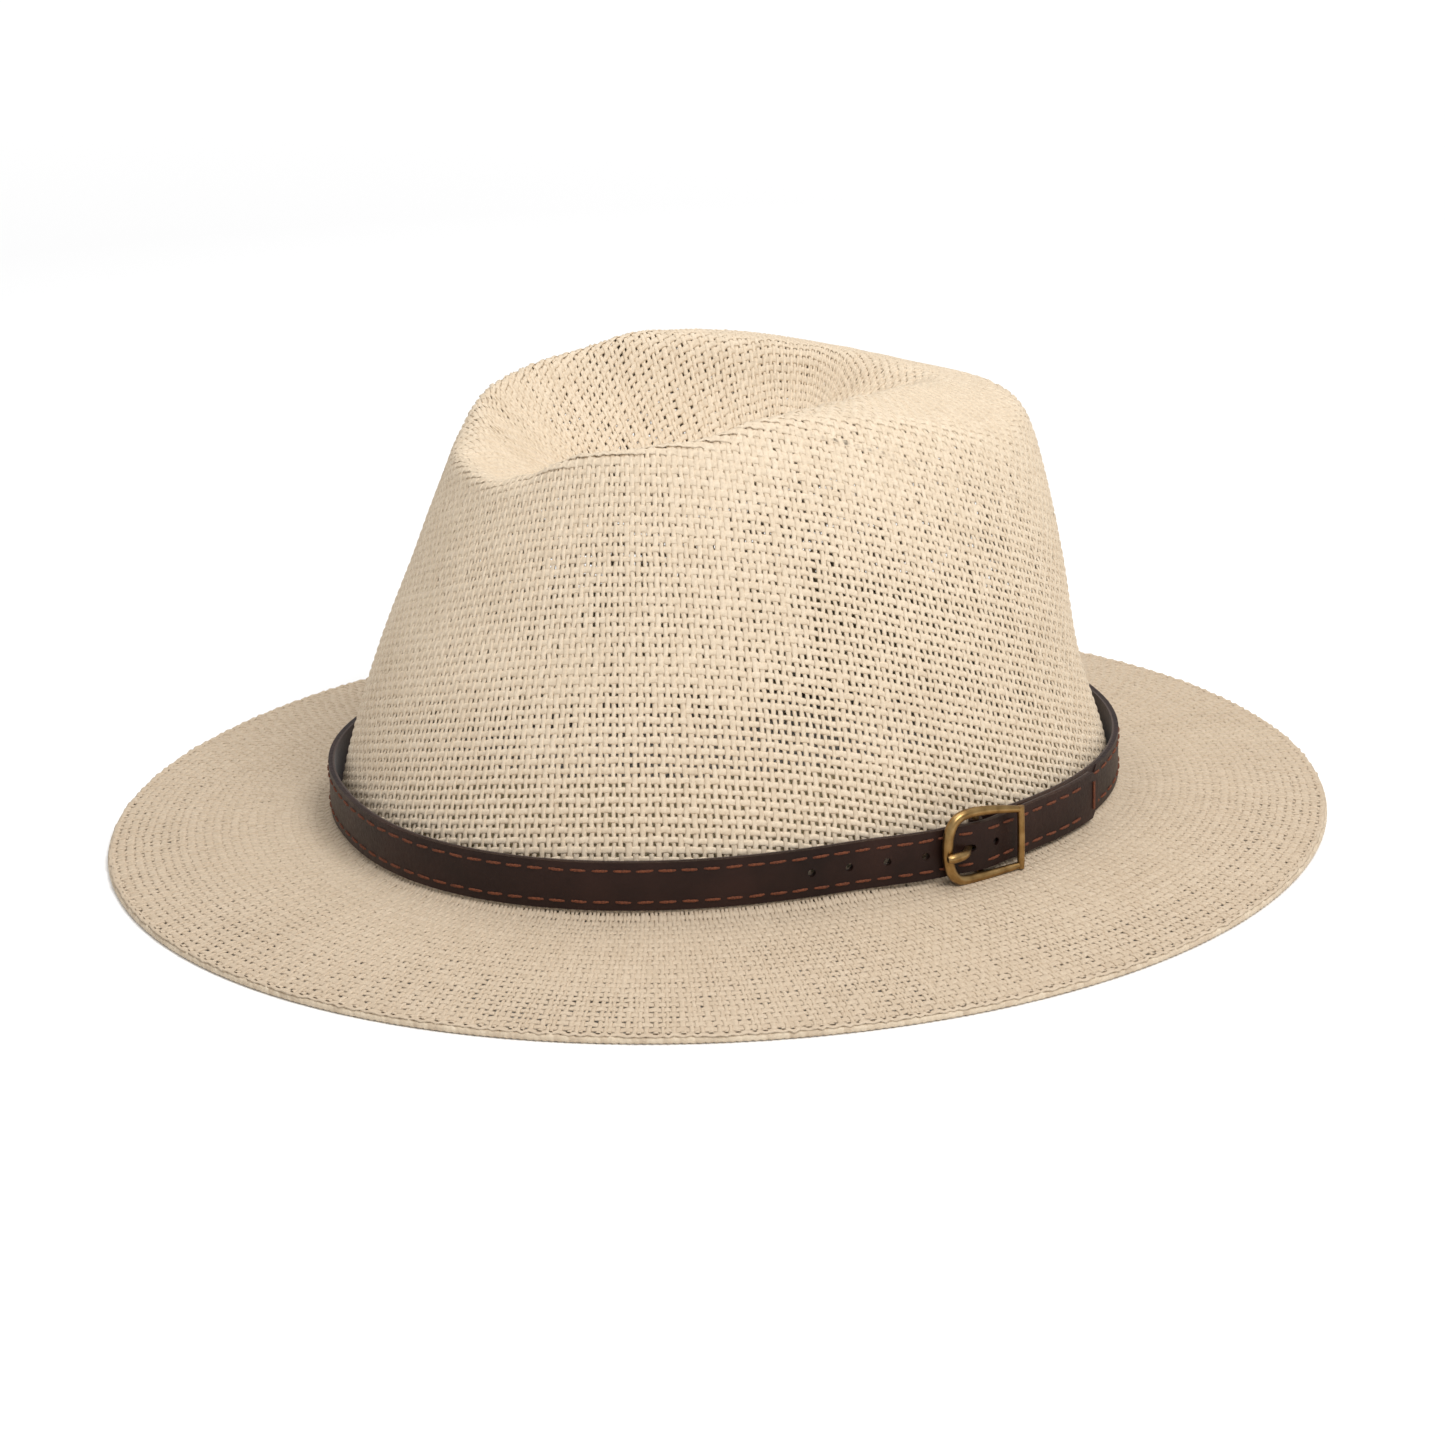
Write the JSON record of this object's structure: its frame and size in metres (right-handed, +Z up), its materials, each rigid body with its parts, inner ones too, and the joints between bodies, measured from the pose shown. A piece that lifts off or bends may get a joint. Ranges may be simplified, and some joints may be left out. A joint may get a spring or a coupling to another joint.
{
  "type": "panama hat",
  "caption": "Woven straw hat with a teardrop crown, a rolled-edge brim, an inner sweatband and a stitched leather belt band that fastens with a brass buckle.",
  "frame": {"origin": "middle of the hat's bounding box, on the table under the brim's rolled edge", "axes": "+Z up, -Y towards the front of the hat (the wide end of the crown's dent), +X towards the wearer's left, where the buckle is"},
  "size_m": [0.299, 0.322, 0.1209],
  "materials": {
    "crown_straw": "woven paper straw, open plain weave, matt with a slight sheen",
    "brim_straw": "woven paper straw, close plain weave, matt",
    "hem_straw": "straw wrapped over a cord, matt",
    "edge_cord": "cotton cord",
    "sweatband_cloth": "pale cotton twill",
    "pale_thread": "cotton thread",
    "strap_leather": "smooth dark brown leather, soft sheen",
    "strap_lining": "matt split leather",
    "rust_thread": "waxed orange-brown thread",
    "antique_brass": "antique brass, rubbed bright on its edges"
  },
  "bodies": {
    "hat": {"crown_shell": "crown_straw", "brim_plate": "brim_straw", "brim_edge_hem": "hem_straw", "brim_edge_cord": "edge_cord", "sweatband": "sweatband_cloth", "sweatband_stitching": "pale_thread", "sweatband_join_tape": "sweatband_cloth"},
    "band": {"strap_leather": "strap_leather", "strap_lining": "strap_lining", "strap_stitch_upper": "rust_thread", "strap_stitch_lower": "rust_thread", "strap_stitch_tip": "rust_thread", "buckle_frame": "antique_brass", "buckle_bar": "antique_brass"},
    "prong": {"buckle_prong": "antique_brass"}
  },
  "joints": [
    {"name": "band_lift", "type": "slide", "parent": "hat", "child": "band", "axis": [0, 0, 1], "range_m": [0, 0.115]},
    {"name": "prong_swing", "type": "hinge", "parent": "band", "child": "prong", "pos_m": [0.08271, 0.03752, 0.01575], "axis": [0, 0, 1], "range_deg": [0, 8]}
  ]
}
